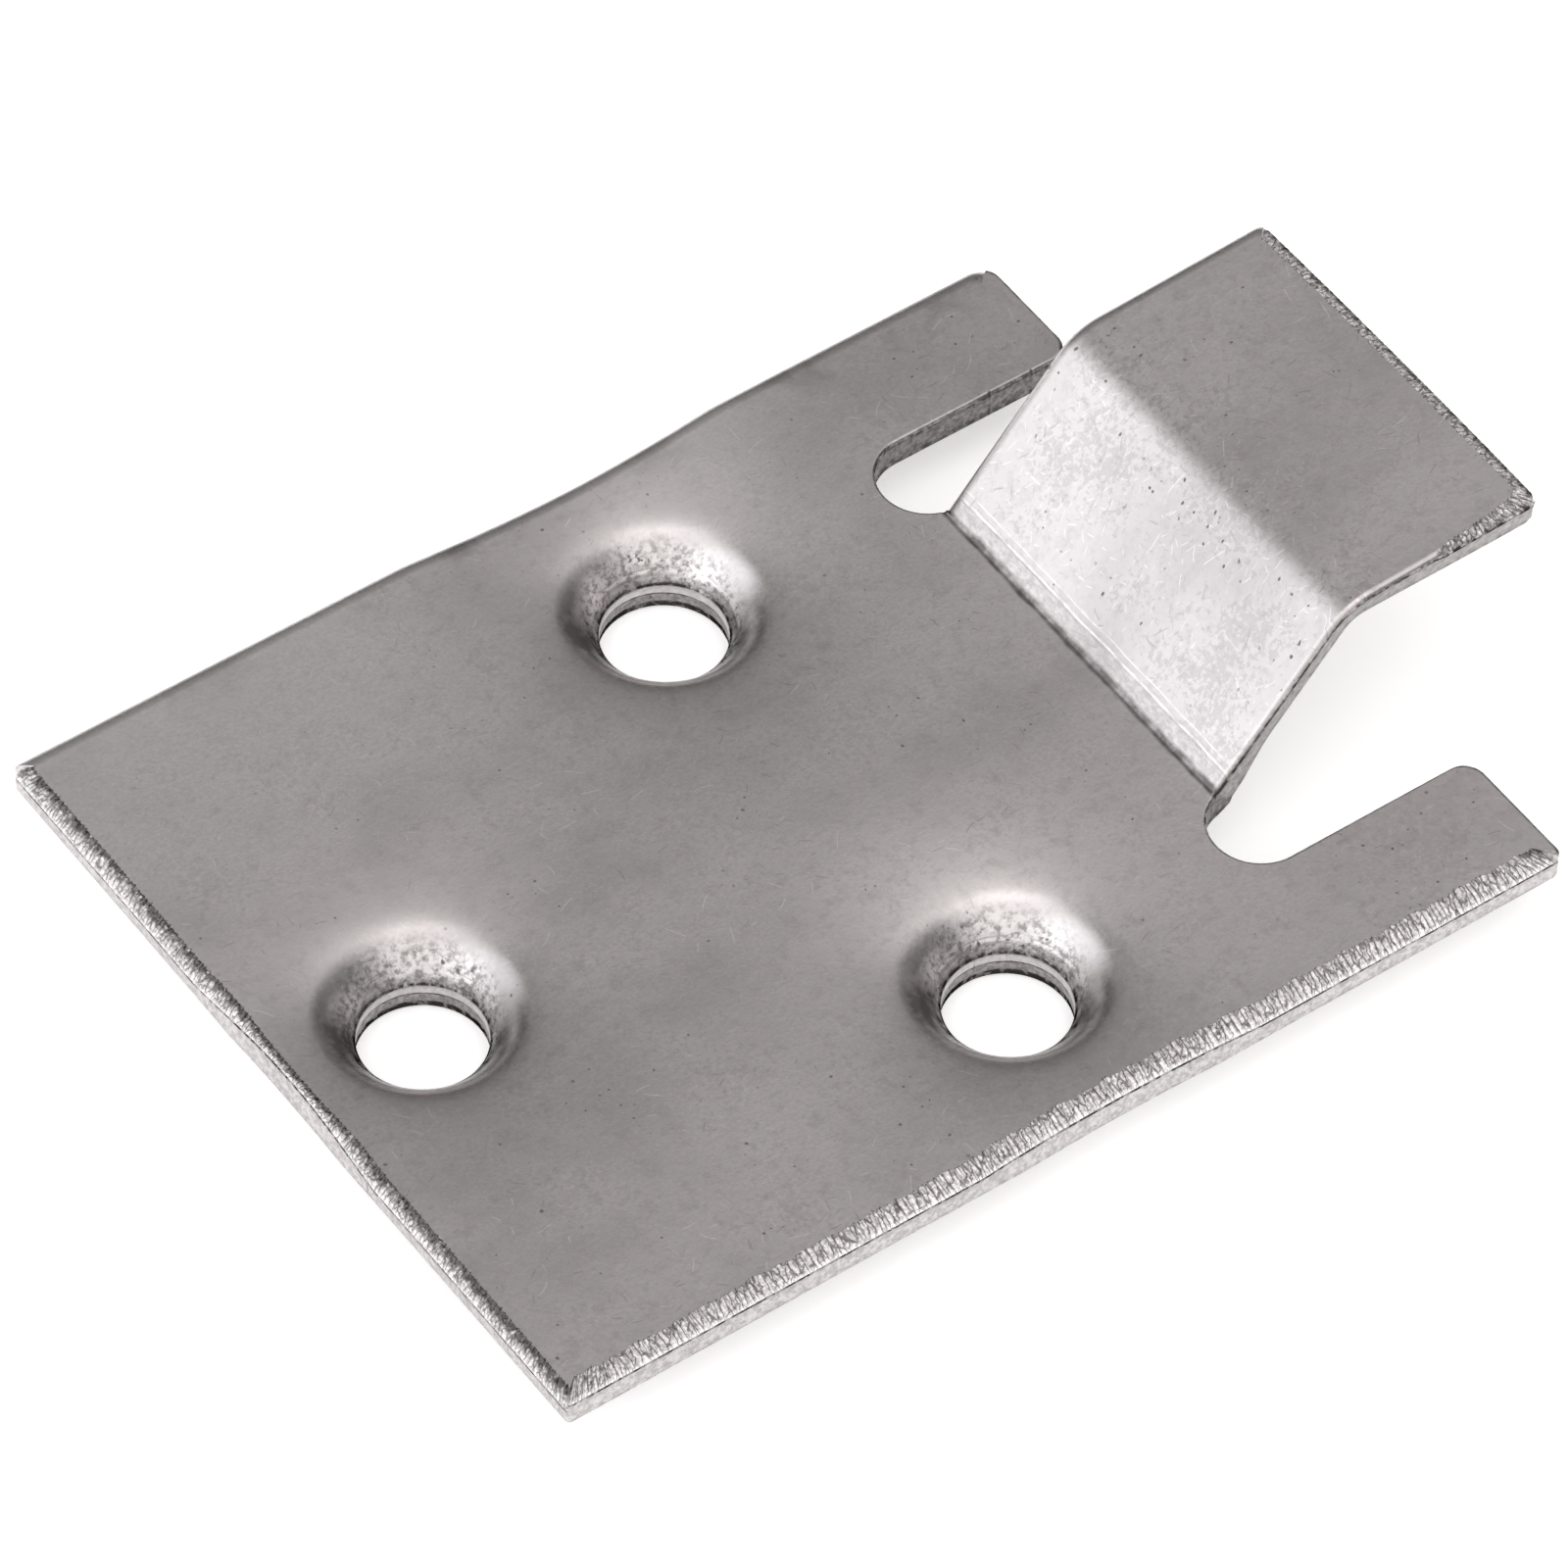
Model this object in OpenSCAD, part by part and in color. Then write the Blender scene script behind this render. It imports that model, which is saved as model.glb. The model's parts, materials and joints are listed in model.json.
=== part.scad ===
// Stamped sheet metal hook plate.
// A flat plate with three dimpled screw holes and, between two ears, a tab that
// is bent up and then flat again, so that it reaches over a rail or an edge.
//
// Millimetres, +Z up. X runs from the back edge to the tip of the tab, and Y runs
// across the plate. The origin is the middle of the bounding box in X and Y, on
// the plane that the three dimples stand on.

/* [Plate] */
// Length from the back edge to the ends of the ears
plate_len = 50; // [46:0.5:70]
// Width across the two ears
plate_w = 40.3; // [38:0.1:60]
// Thickness of the sheet
sheet_t = 1.5; // [1:0.1:2]

/* [Screw holes] */
// Diameter of the holes
hole_d = 5.5; // [4:0.1:6]
// Height of the straight wall of a hole
hole_wall = 1.4; // [1:0.1:1.8]
// Distance of the single hole from the back edge
back_hole_inset = 6.8; // [6.2:0.1:10]
// Distance of the pair of holes from the back edge
pair_inset = 27.5; // [20:0.5:31]
// Distance between the holes of the pair
pair_pitch = 24.5; // [14:0.5:25]

/* [Dimples] */
// Depth from the top face of the plate down to the rim of a hole
dimple_depth = 2.3; // [1.6:0.1:2.6]
// Angle of the dimple's wall to the plate
dimple_angle = 45; // [40:1:52]
// Radius inside the bend around a dimple
dimple_bend_r = 1.3; // [0.5:0.1:1.6]
// Radius around the foot of a dimple
dimple_foot_r = 0.5; // [0.2:0.1:0.7]

/* [Tab] */
// Width of the tab
tab_w = 19; // [14:0.5:20]
// Distance of the tab's lower bend from the back edge
tab_bend_inset = 40; // [38:0.5:42]
// Angle of the tab's slope to the plate
tab_angle = 50; // [35:1:65]
// Height of the upper bend above the plate, top face to top face
tab_rise = 7.6; // [5:0.1:12]
// Length of the lip, from the upper bend to the tip
lip_len = 10.1; // [6:0.1:16]
// Angle that the lip still rises at
lip_angle = 3; // [0:0.5:6]
// Radius inside the lower bend, on top of the plate
lower_bend_r = 0.3; // [0.2:0.1:0.8]
// Radius inside the upper bend, under the lip
upper_bend_r = 1.5; // [0.5:0.1:2]

/* [Relief slots] */
// Width of the slots beside the tab
slot_w = 4.4; // [3:0.1:5]
// Distance that the slots run past the lower bend, into the plate
slot_past_bend = 1.5; // [1:0.1:3]

/* [Edges] */
// Radius of the ears' corners, seen from above
ear_corner_r = 1; // [0.5:0.1:1.5]
// Radius of the lip's corners, seen from above
lip_corner_r = 0.5; // [0.2:0.1:1]
// Radius that the punch rolled along the left side and the ends of the ears
rolled_edge_r = 0.3; // [0.2:0.1:0.8]
// Radius that the punch rolled along the slots
slot_edge_r = 0.25; // [0.1:0.05:0.4]
// Width of the ground bevel along the right side
side_bevel_w = 0.8; // [0.4:0.1:1]
// Height of the ground bevel along the right side
side_bevel_h = 0.4; // [0.2:0.1:0.6]
// Width of the ground bevel along the back edge
back_bevel_w = 0.6; // [0.4:0.1:1]
// Height of the ground bevel along the back edge
back_bevel_h = 0.6; // [0.2:0.1:0.7]
// Width of the ground bevel around the tip of the lip
lip_bevel_w = 0.6; // [0.3:0.1:0.8]
// Height of the ground bevel around the tip of the lip
lip_bevel_h = 0.4; // [0.2:0.1:0.6]
// Length of the ground bevel along the right side of the lip
lip_bevel_len = 5; // [2:0.5:6]

/* [Drawn-in edges] */
// Depth to which a dimple draws in the edge beside it
draw_in = 0.3; // [0.1:0.05:0.4]
// Length of edge that a dimple draws in
draw_in_len = 14; // [8:1:16]
// Lean of the drawn-in edge, its top being drawn in further
draw_in_lean = 6; // [0:1:8]

/* [Hidden] */
$fn = 96;

steel = [0.62, 0.60, 0.59];
// How far a cutting body runs past the face that it cuts, and a small patch
// past the two sides of its corner
over = 1;
bite = 0.1;

// Heights of the sheet's two faces above the plane that the dimples stand on
plate_top = hole_wall + dimple_depth;
plate_under = plate_top - sheet_t;

// The tab in side view, drawn with sharp corners along its top face: the slope
// leaves the plate at the lower bend and turns into the lip at the upper bend.
slope_run = tab_rise / tan(tab_angle);
upper_turn = tab_angle - lip_angle;

overall_len = tab_bend_inset + slope_run + lip_len * cos(lip_angle)
    + sheet_t * sin(lip_angle);
back_x = -overall_len / 2;
ear_x = back_x + plate_len;
bend_x = back_x + tab_bend_inset;
bend_start = bend_x - lower_bend_r * tan(tab_angle / 2);

slot_r = slot_w / 2;
slot_end_x = bend_x - slot_past_bend + slot_r;
slot_y = tab_w / 2 + slot_r;
notch_w = tab_w + 2 * slot_w;

back_hole = [back_x + back_hole_inset, 0];
left_hole = [back_x + pair_inset, pair_pitch / 2];
right_hole = [back_x + pair_inset, -pair_pitch / 2];
holes = [back_hole, left_hole, right_hole];

// A dimple in section, drawn with sharp corners: the wall meets the plate's top
// face at wall_top_r and its underside at wall_under_r, and ends at foot_r
wall_turn = 180 - dimple_angle;
wall_across = sheet_t / sin(dimple_angle);
wall_top_r = hole_d / 2 + dimple_depth / tan(dimple_angle);
wall_under_r = wall_top_r - sheet_t / tan(dimple_angle) + wall_across;
foot_r = hole_d / 2 - hole_wall / tan(dimple_angle) + wall_across;
outer_bend_r = dimple_bend_r + sheet_t;

// Radius of the large cylinder whose side is a drawn-in edge
draw_r = (draw_in_len * draw_in_len / 4 + draw_in * draw_in) / (2 * draw_in);

// A point that is so far away in the direction angle
function polar(distance, angle) = distance * [cos(angle), sin(angle)];

// The patch between a sharp corner at the origin and the arc that rounds it.
// One side of the corner runs along +X and the other is turned by angle. The
// patch is cut from an outer corner, and added to an inner one.
module corner_patch(r, angle) {
    set = r / tan(angle / 2);
    difference() {
        polygon([
            polar(-bite / sin(angle / 2), angle / 2),
            [set, -bite],
            [set, r],
            polar(set, angle) + polar(bite, angle + 90),
        ]);
        translate([set, r]) circle(r = r);
    }
}

// Waste of an edge in section. The sharp edge is the origin, and the material
// lies towards +X and -Y.
module bevel_waste(w, h) {
    polygon([
        [-w, -2 * h],
        [2 * w, h],
        [-w, h],
    ]);
}

module roll_waste(r) {
    rotate(-90) corner_patch(r, 90);
}

// Stands a section that is drawn in X and Y upright in X and Z, and runs it
// along Y to both sides of the origin.
module along_y(length) {
    translate([0, length / 2, 0])
        rotate([90, 0, 0])
            linear_extrude(height = length) children();
}

// Turns what is drawn for the back edge to the right side, to the left side or
// to the ends of the ears.
module on_right(x, y) { translate([x, y, 0]) rotate([0, 0, 90]) children(); }
module on_left(x, y) { translate([x, y, 0]) rotate([0, 0, -90]) children(); }
module on_front(x, y) { translate([x, y, 0]) rotate([0, 0, 180]) children(); }

// Plan of the plate: two ears, and between them a notch for the tab, with its
// corners run on into two round-ended slots.
module plate_plan() {
    difference() {
        translate([back_x, -plate_w / 2]) square([plate_len, plate_w]);
        translate([bend_start, -notch_w / 2]) square([plate_len, notch_w]);
        for (side = [-1, 1])
            translate([slot_end_x, side * slot_y]) {
                circle(r = slot_r);
                translate([0, -slot_r]) square([plate_len, slot_w]);
            }
        // Inner corners of the ears, and outer corner of the left ear
        translate([ear_x, notch_w / 2]) rotate(90) corner_patch(ear_corner_r, 90);
        translate([ear_x, -notch_w / 2]) rotate(180) corner_patch(ear_corner_r, 90);
        translate([ear_x, plate_w / 2]) rotate(180) corner_patch(ear_corner_r, 90);
    }
}

module plate() {
    translate([0, 0, plate_under])
        linear_extrude(height = sheet_t) plate_plan();
}

// Side view of the tab, from a stub within the plate to the tip of the lip. The
// sheet is as thick along its bends as elsewhere, so both faces of a bend are
// arcs about one centre.
module tab_profile() {
    lower = [bend_x, plate_top];
    upper = lower + [slope_run, tab_rise];
    tip = upper + polar(lip_len, lip_angle);
    upper_mid = (tab_angle + lip_angle) / 2;
    lower_under = lower + polar(sheet_t / cos(tab_angle / 2), tab_angle / 2 - 90);
    upper_under = upper + polar(sheet_t / cos(upper_turn / 2), upper_mid - 90);
    tip_under = tip + polar(sheet_t, lip_angle - 90);
    difference() {
        union() {
            polygon([
                lower - [sheet_t, 0],
                lower,
                upper,
                tip,
                tip_under,
                upper_under,
                lower_under,
                lower - [sheet_t, sheet_t],
            ]);
            translate(lower)
                rotate(tab_angle) corner_patch(lower_bend_r, 180 - tab_angle);
            translate(upper_under)
                rotate(tab_angle - 180) corner_patch(upper_bend_r, 180 - upper_turn);
        }
        translate(lower_under)
            rotate(tab_angle) corner_patch(lower_bend_r + sheet_t, 180 - tab_angle);
        translate(upper)
            rotate(tab_angle - 180)
                corner_patch(upper_bend_r + sheet_t, 180 - upper_turn);
    }
}

// Plan of the tab, for the corners at its tip.
module tab_plan() {
    tip_x = overall_len / 2;
    difference() {
        translate([0, -tab_w / 2]) square([tip_x, tab_w]);
        translate([tip_x, tab_w / 2]) rotate(180) corner_patch(lip_corner_r, 90);
        translate([tip_x, -tab_w / 2]) rotate(90) corner_patch(lip_corner_r, 90);
    }
}

module tab() {
    intersection() {
        along_y(tab_w + over) tab_profile();
        linear_extrude(height = plate_top + tab_rise + lip_len) tab_plan();
    }
}

// Outside of a dimple, from its foot up into the plate.
module dimple_boss() {
    rotate_extrude()
        difference() {
            union() {
                polygon([
                    [0, 0],
                    [foot_r, 0],
                    [wall_under_r, plate_under],
                    [wall_under_r, plate_under + bite],
                    [0, plate_under + bite],
                ]);
                translate([wall_under_r, plate_under])
                    rotate(-wall_turn) corner_patch(dimple_bend_r, wall_turn);
            }
            translate([foot_r, 0])
                rotate(dimple_angle) corner_patch(dimple_foot_r, wall_turn);
        }
}

// Hollow of a dimple, with the hole at its bottom.
module dimple_hollow() {
    rotate_extrude() {
        polygon([
            [0, -over],
            [hole_d / 2, -over],
            [hole_d / 2, hole_wall],
            [wall_top_r, plate_top],
            [wall_top_r, plate_top + over],
            [0, plate_top + over],
        ]);
        translate([wall_top_r, plate_top])
            rotate(-wall_turn) corner_patch(outer_bend_r, wall_turn);
    }
}

// Waste beside a drawn-in edge. The edge's middle is the origin, at the height
// of the plate's top face, and the material lies towards +X.
module drawn_in_waste() {
    translate([draw_in, 0, 0])
        rotate([0, -draw_in_lean, 0])
            translate([-draw_r, 0, -2 * sheet_t])
                cylinder(r = draw_r, h = 3 * sheet_t, $fn = 720);
}

// Waste along the slot on the left of the tab: along the ear, and around the
// slot's end as far as the tab's lower bend.
module slot_waste() {
    ear_run = ear_x - slot_end_x + over;
    root_turn = acos(max(0, (slot_end_x - bend_start) / slot_r));
    on_right(slot_end_x + ear_run / 2, slot_y + slot_r)
        along_y(ear_run) roll_waste(slot_edge_r);
    translate([slot_end_x, slot_y, 0])
        rotate([0, 0, 90])
            rotate_extrude(angle = 90 + root_turn)
                translate([slot_r, 0]) roll_waste(slot_edge_r);
}

// Waste along the outer edges, which are ground, rolled or drawn in.
module edge_waste() {
    long = 2 * plate_len;
    translate([0, 0, plate_top]) {
        slot_waste();
        mirror([0, 1, 0]) slot_waste();
        translate([back_x, 0, 0]) along_y(long) bevel_waste(back_bevel_w, back_bevel_h);
        on_right(back_x, -plate_w / 2) along_y(long) bevel_waste(side_bevel_w, side_bevel_h);
        on_left(back_x, plate_w / 2) along_y(long) roll_waste(rolled_edge_r);
        for (side = [-1, 1])
            on_front(ear_x, side * plate_w / 2) along_y(plate_w - notch_w) roll_waste(rolled_edge_r);
        translate([back_x, back_hole[1], 0]) drawn_in_waste();
        on_right(right_hole[0], -plate_w / 2) drawn_in_waste();
        on_left(left_hole[0], plate_w / 2) drawn_in_waste();
    }
}

// Waste around the tip of the lip. The bevel on its right side runs out.
module lip_waste() {
    translate([bend_x + slope_run, 0, plate_top + tab_rise])
        rotate([0, -lip_angle, 0]) {
            on_front(lip_len, 0) along_y(2 * tab_w) bevel_waste(lip_bevel_w, lip_bevel_h);
            translate([lip_len - lip_bevel_len, -tab_w / 2, 0])
                rotate([0, 0, 90 + atan(lip_bevel_w / lip_bevel_len)])
                    translate([-lip_bevel_w, 0, 0])
                        along_y(3 * lip_bevel_len) bevel_waste(lip_bevel_w, lip_bevel_h);
        }
}

module bracket() {
    color(steel)
        difference() {
            union() {
                plate();
                tab();
                for (at = holes) translate(at) dimple_boss();
            }
            for (at = holes) translate(at) dimple_hollow();
            edge_waste();
            lip_waste();
        }
}

bracket();
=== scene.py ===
import json
import math

import bmesh
import bpy
from mathutils import Matrix, Vector
from mathutils.geometry import delaunay_2d_cdt

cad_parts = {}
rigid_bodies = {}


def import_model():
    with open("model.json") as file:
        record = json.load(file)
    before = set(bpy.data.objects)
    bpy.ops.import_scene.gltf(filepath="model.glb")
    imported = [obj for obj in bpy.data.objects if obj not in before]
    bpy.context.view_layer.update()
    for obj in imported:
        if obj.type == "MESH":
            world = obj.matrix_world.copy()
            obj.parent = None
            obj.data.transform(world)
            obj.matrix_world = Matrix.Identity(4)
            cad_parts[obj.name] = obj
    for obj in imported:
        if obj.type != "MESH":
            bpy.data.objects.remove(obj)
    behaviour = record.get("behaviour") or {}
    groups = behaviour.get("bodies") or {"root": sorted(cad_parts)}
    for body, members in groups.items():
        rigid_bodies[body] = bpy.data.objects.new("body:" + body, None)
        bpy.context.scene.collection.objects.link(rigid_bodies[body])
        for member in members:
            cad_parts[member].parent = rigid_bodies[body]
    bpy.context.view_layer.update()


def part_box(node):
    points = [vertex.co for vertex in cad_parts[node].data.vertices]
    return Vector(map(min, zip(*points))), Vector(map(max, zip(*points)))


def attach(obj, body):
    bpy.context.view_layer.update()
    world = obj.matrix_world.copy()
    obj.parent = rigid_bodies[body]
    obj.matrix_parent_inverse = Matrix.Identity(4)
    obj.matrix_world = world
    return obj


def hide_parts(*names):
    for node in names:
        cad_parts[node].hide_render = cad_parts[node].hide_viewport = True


# Nothing stays from what is in the file at the start.
for spare in list(bpy.data.objects):
    bpy.data.objects.remove(spare)

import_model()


# The blank: one piece of 1.5 mm sheet steel, punched out flat in millimetres.
# Going round it with the steel on the left, each leg is straight or the round
# end of a slot, and is cut, ground or rolled in its own way.
mm = 0.001
low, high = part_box("bracket")
sheet = 1.5
top_z = 3.7
plate_length = 50
back_x = low.x / mm
ear_x = back_x + plate_length
side_y = high.y / mm
tab_y = 9.5
slot_r = 2.2
slot_y = tab_y + slot_r
ear_y = tab_y + 2 * slot_r

bend_from_back = 40
slot_past_bend = 1.5
bend_x = back_x + bend_from_back
slot_x = bend_x - slot_past_bend + slot_r

# The tab leaves the plate at 50 degrees and ends as a lip that rises at nearly 3.
# Along the sheet it is a stub, a tight bend, the slope, a wide bend and the lip.
slope_turn = math.radians(50)
lip_turn = math.radians(2.9)
tight_r = 0.3
wide_r = 3.0
lip_rise = 7.6
lip_length = 10.1
tight_set = tight_r * math.tan(slope_turn / 2)
wide_set = wide_r * math.tan((slope_turn - lip_turn) / 2)
bend_s = bend_x - tight_set
slope_s = bend_s + (tight_r + sheet / 2) * slope_turn
wide_s = slope_s + lip_rise / math.sin(slope_turn) - tight_set - wide_set
lip_s = wide_s + (wide_r - sheet / 2) * (slope_turn - lip_turn)
tip_s = lip_s + lip_length - wide_set


def bent(s, n):
    """X and Z of the tab at s along the sheet and n above its top face."""

    def up(turn):
        return Vector((-math.sin(turn), math.cos(turn)))

    def along(turn):
        return Vector((math.cos(turn), math.sin(turn)))

    tight_mid = Vector((bend_s, top_z + tight_r))
    if s < slope_s:
        turn = (s - bend_s) / (tight_r + sheet / 2)
        return tight_mid - (tight_r - n) * up(turn)
    foot = tight_mid - tight_r * up(slope_turn)
    if s < wide_s:
        return foot + (s - slope_s) * along(slope_turn) + n * up(slope_turn)
    wide_mid = foot + (wide_s - slope_s) * along(slope_turn) - wide_r * up(slope_turn)
    if s < lip_s:
        turn = slope_turn - (s - wide_s) / (wide_r - sheet / 2)
        return wide_mid + (wide_r + n) * up(turn)
    return wide_mid + wide_r * up(lip_turn) + (s - lip_s) * along(lip_turn) + n * up(lip_turn)


# The three dimples are pressed down into the flat blank, so the steel around a
# hole leans steeply, and the plate around it is drawn down a little too,
# less and less with the distance.
back_inset = 6.8
pair_inset = 27.5
pair_y = 12.25
back_hole = (back_x + back_inset, 0.0)
left_hole = (back_x + pair_inset, pair_y)
right_hole = (back_x + pair_inset, -pair_y)
holes = [back_hole, left_hole, right_hole]
hole_r = 2.75
hole_wall = 1.4
wall_slope = 1.33
under_wall_r = 3.471
settled_by, settled_from_r, settled_reach = 0.47, 4.2, 2.3
top_bend, under_bend = 0.3, 0.1
ring_r = 5.3


def soft_min(first, second, soft):
    """The lower of two heights, with a soft bend where they cross."""
    least = min(first, second)
    both = math.exp((least - first) / soft) + math.exp((least - second) / soft)
    return least - soft * math.log(both)


def sheet_faces(x, y):
    """Heights of the plate's top face and underside at x and y."""
    away = [math.hypot(x - hx, y - hy) for hx, hy in holes]
    settled = sum(settled_by * math.exp(-max(0, r - settled_from_r) / settled_reach) for r in away)
    r = min(away)
    top = soft_min(hole_wall + wall_slope * (r - hole_r), top_z - settled, top_bend)
    under = soft_min(r - under_wall_r, top_z - sheet - settled, under_bend)
    return top, max(0.0, under)


def place(s, y, n):
    """The point of the finished bracket for s, y and n of the flat blank."""
    if s > bend_s and abs(y) < tab_y + 1:
        x, z = bent(s, n)
        return Vector((x, y, z)) * mm
    top, under = sheet_faces(s, y)
    depth = -n / sheet
    return Vector((s, y, (1 - depth) * top + depth * under)) * mm


# Its edges. A ground edge has a coarse bevel, a rolled edge is drawn down by the
# punch, and below both the wall is sheared. Beside a dimple the edge is drawn in.
# An edge's section reaches 1.3 mm into the sheet.
inner = 1.3
corner_zone = 3.0
draw_curve = 163.7
drawn_less_below = 0.158
marks = ("ground", "across", "bevel_shade_level", "sheared", "punched", "pressed", "painted_shade", "off", "dimple_shade")


class Leg:
    """A straight leg of the blank's outline, from one corner to the next."""

    def __init__(self, name, start, end, corners, radii):
        self.name = name
        self.start, self.end = Vector(start), Vector(end)
        self.length = (self.end - self.start).length
        self.along = (self.end - self.start) / self.length
        self.into = Vector((-self.along.y, self.along.x))
        self.corners, self.radii = corners, radii

    def at(self, a, d):
        zone = min(corner_zone, self.length / 2)
        first = self.corners[0] * max(0, 1 - a / zone)
        last = self.corners[1] * max(0, 1 - (self.length - a) / zone)
        return self.start + self.along * (a + d * (first - last)) + self.into * d

    def rounding(self, a):
        """How far a corner's radius sets the edge in at a."""
        zone = min(corner_zone, self.length / 2)
        most = 0.0
        for near, corner, r in zip((a, self.length - a), self.corners, self.radii):
            if corner and r and near < r:
                q = 1 - near / zone
                b = r - q * (near - r)
                c = (near - r) ** 2
                most = max(most, (b - math.sqrt(max(0, b * b - (q * q + 1) * c))) / (q * q + 1))
        return most


class SlotEnd:
    """The round end of a slot, where the steel lies outside the arc."""

    def __init__(self, name, middle):
        self.name = name
        self.middle = Vector(middle)
        self.length = math.pi * slot_r

    def at(self, a, d):
        turn = -math.pi / 2 - a / slot_r
        return self.middle + (slot_r + d) * Vector((math.cos(turn), math.sin(turn)))

    def rounding(self, a):
        return 0.0


outline = [
    Leg("right side", (back_x, -side_y), (ear_x, -side_y), (1, 1), (0.2, 0.3)),
    Leg("right ear", (ear_x, -side_y), (ear_x, -ear_y), (1, 1), (0.3, 1)),
    Leg("right slot", (ear_x, -ear_y), (slot_x, -ear_y), (1, 0), (1, 0)),
    SlotEnd("right slot end", (slot_x, -slot_y)),
    Leg("tab right", (slot_x, -tab_y), (tip_s, -tab_y), (0, 1), (0, 0.5)),
    Leg("tip", (tip_s, -tab_y), (tip_s, tab_y), (1, 1), (0.5, 0.5)),
    Leg("tab left", (tip_s, tab_y), (slot_x, tab_y), (1, 0), (0.5, 0)),
    SlotEnd("left slot end", (slot_x, slot_y)),
    Leg("left slot", (slot_x, ear_y), (ear_x, ear_y), (0, 1), (0, 1)),
    Leg("left ear", (ear_x, ear_y), (ear_x, side_y), (1, 1), (1, 1)),
    Leg("left side", (ear_x, side_y), (back_x, side_y), (1, 1), (1, 0.3)),
    Leg("back", (back_x, side_y), (back_x, -side_y), (1, 1), (0.3, 0.2)),
]


def between(a, low_a, high_a, low_value, high_value):
    """A value that goes softly from one to the other while a does."""
    q = min(1, max(0, (a - low_a) / (high_a - low_a)))
    return low_value + (high_value - low_value) * q * q * (3 - 2 * q)


def drawn_in(offset, depth):
    """How far a dimple at an offset along the edge draws it in on top and below."""
    pull = max(0.0, depth - offset ** 2 / draw_curve)
    return pull, max(0, pull - drawn_less_below), 0.0


as_cut = (0.0, 0.0, 0.0)
not_ground = (0, 0)


def edge_shape(leg, a):
    """The finish of an edge at a: its bevel's width, height and roundness; how far
    it is drawn in on top and below, and the underside's inset; how much the edge is
    ground and how much shade is painted on its bevel; how much its wall is sheared and how much
    punched."""
    point = leg.at(a, 0)
    if leg.name == "right side":
        height = between(a, 0, 50, 0.28, 0.46)
        width = 0.84 * (1 + 0.05 * math.sin(2.1 * a) + 0.05 * math.sin(5.3 * a + 1))
        bevel_shade_level = between(a, 48.9, 49.5, 0.35, 1.4)
        drawn = drawn_in(point.x - right_hole[0], 0.3)
        return (width, height, 0.1), drawn, (1, bevel_shade_level), (0.8, 0)
    if leg.name == "back":
        fade = between(abs(point.y), 0.5, 6.5, 0.3, 1)
        width = between(a, 0, 40, 0.56, 0.44) * between(fade, 0, 1, 0.45, 1)
        bevel_shade_level = between(a, 0, 40, 1.4, 1.9)
        return (width, 0.7 * fade, 0.35), drawn_in(point.y, 0.26), (1, bevel_shade_level), (0.7, 0)
    if leg.name == "left side":
        return (0.7, 0.3, 1), drawn_in(point.x - left_hole[0], 0.38), not_ground, (1, 0)
    if leg.name in ("right ear", "left ear"):
        return (0.16, 0.14, 1), as_cut, not_ground, (1, 0)
    if leg.name == "tip":
        bow = 0.09 * (point.y / tab_y) ** 2
        return (0.56, 0.22, 0.2), (bow, bow, 0.0), (1, 0.1), (1, 0)
    if leg.name in ("tab right", "tab left"):
        s = point.x
        inset = between(s, slope_s, slope_s + 3, 0.1, 0.36) * between(s, wide_s, tip_s, 1, 0.4)
        if leg.name == "tab right":
            ground = between(s, tip_s - 5.4, tip_s - 4.8, 0, 1)
            width = 0.26 + ground * between(s, tip_s - 5, tip_s, 0.04, 0.4)
            shape = (width, 0.22 + 0.1 * ground, 1 - 0.8 * ground)
            return shape, (0.0, 0.0, inset), (ground, 0.6), (0.5, 0.5)
        return (0.55, 0.28, 1), (0.0, 0.0, inset), not_ground, (0.5, 0.5)
    return (0.14, 0.12, 1), as_cut, not_ground, (0, 1)


# Shade painted along the edges: from which share of the roll or bevel it
# darkens to which, and how dark it is, on most edges and on some.
usual_painted_shade = (0, 0.45, 0.9)
painted_shade_reach = {
    "right side": (0, 1, 0), "back": (0, 1, 0), "left side": (0.8, 1, 0.8), "tip": (0.6, 0.75, 1),
    "tab right": (0.5, 0.95, 1.1), "tab left": (0.7, 1, 1.2), "left slot": (0.1, 0.7, 0.8),
}


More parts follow.
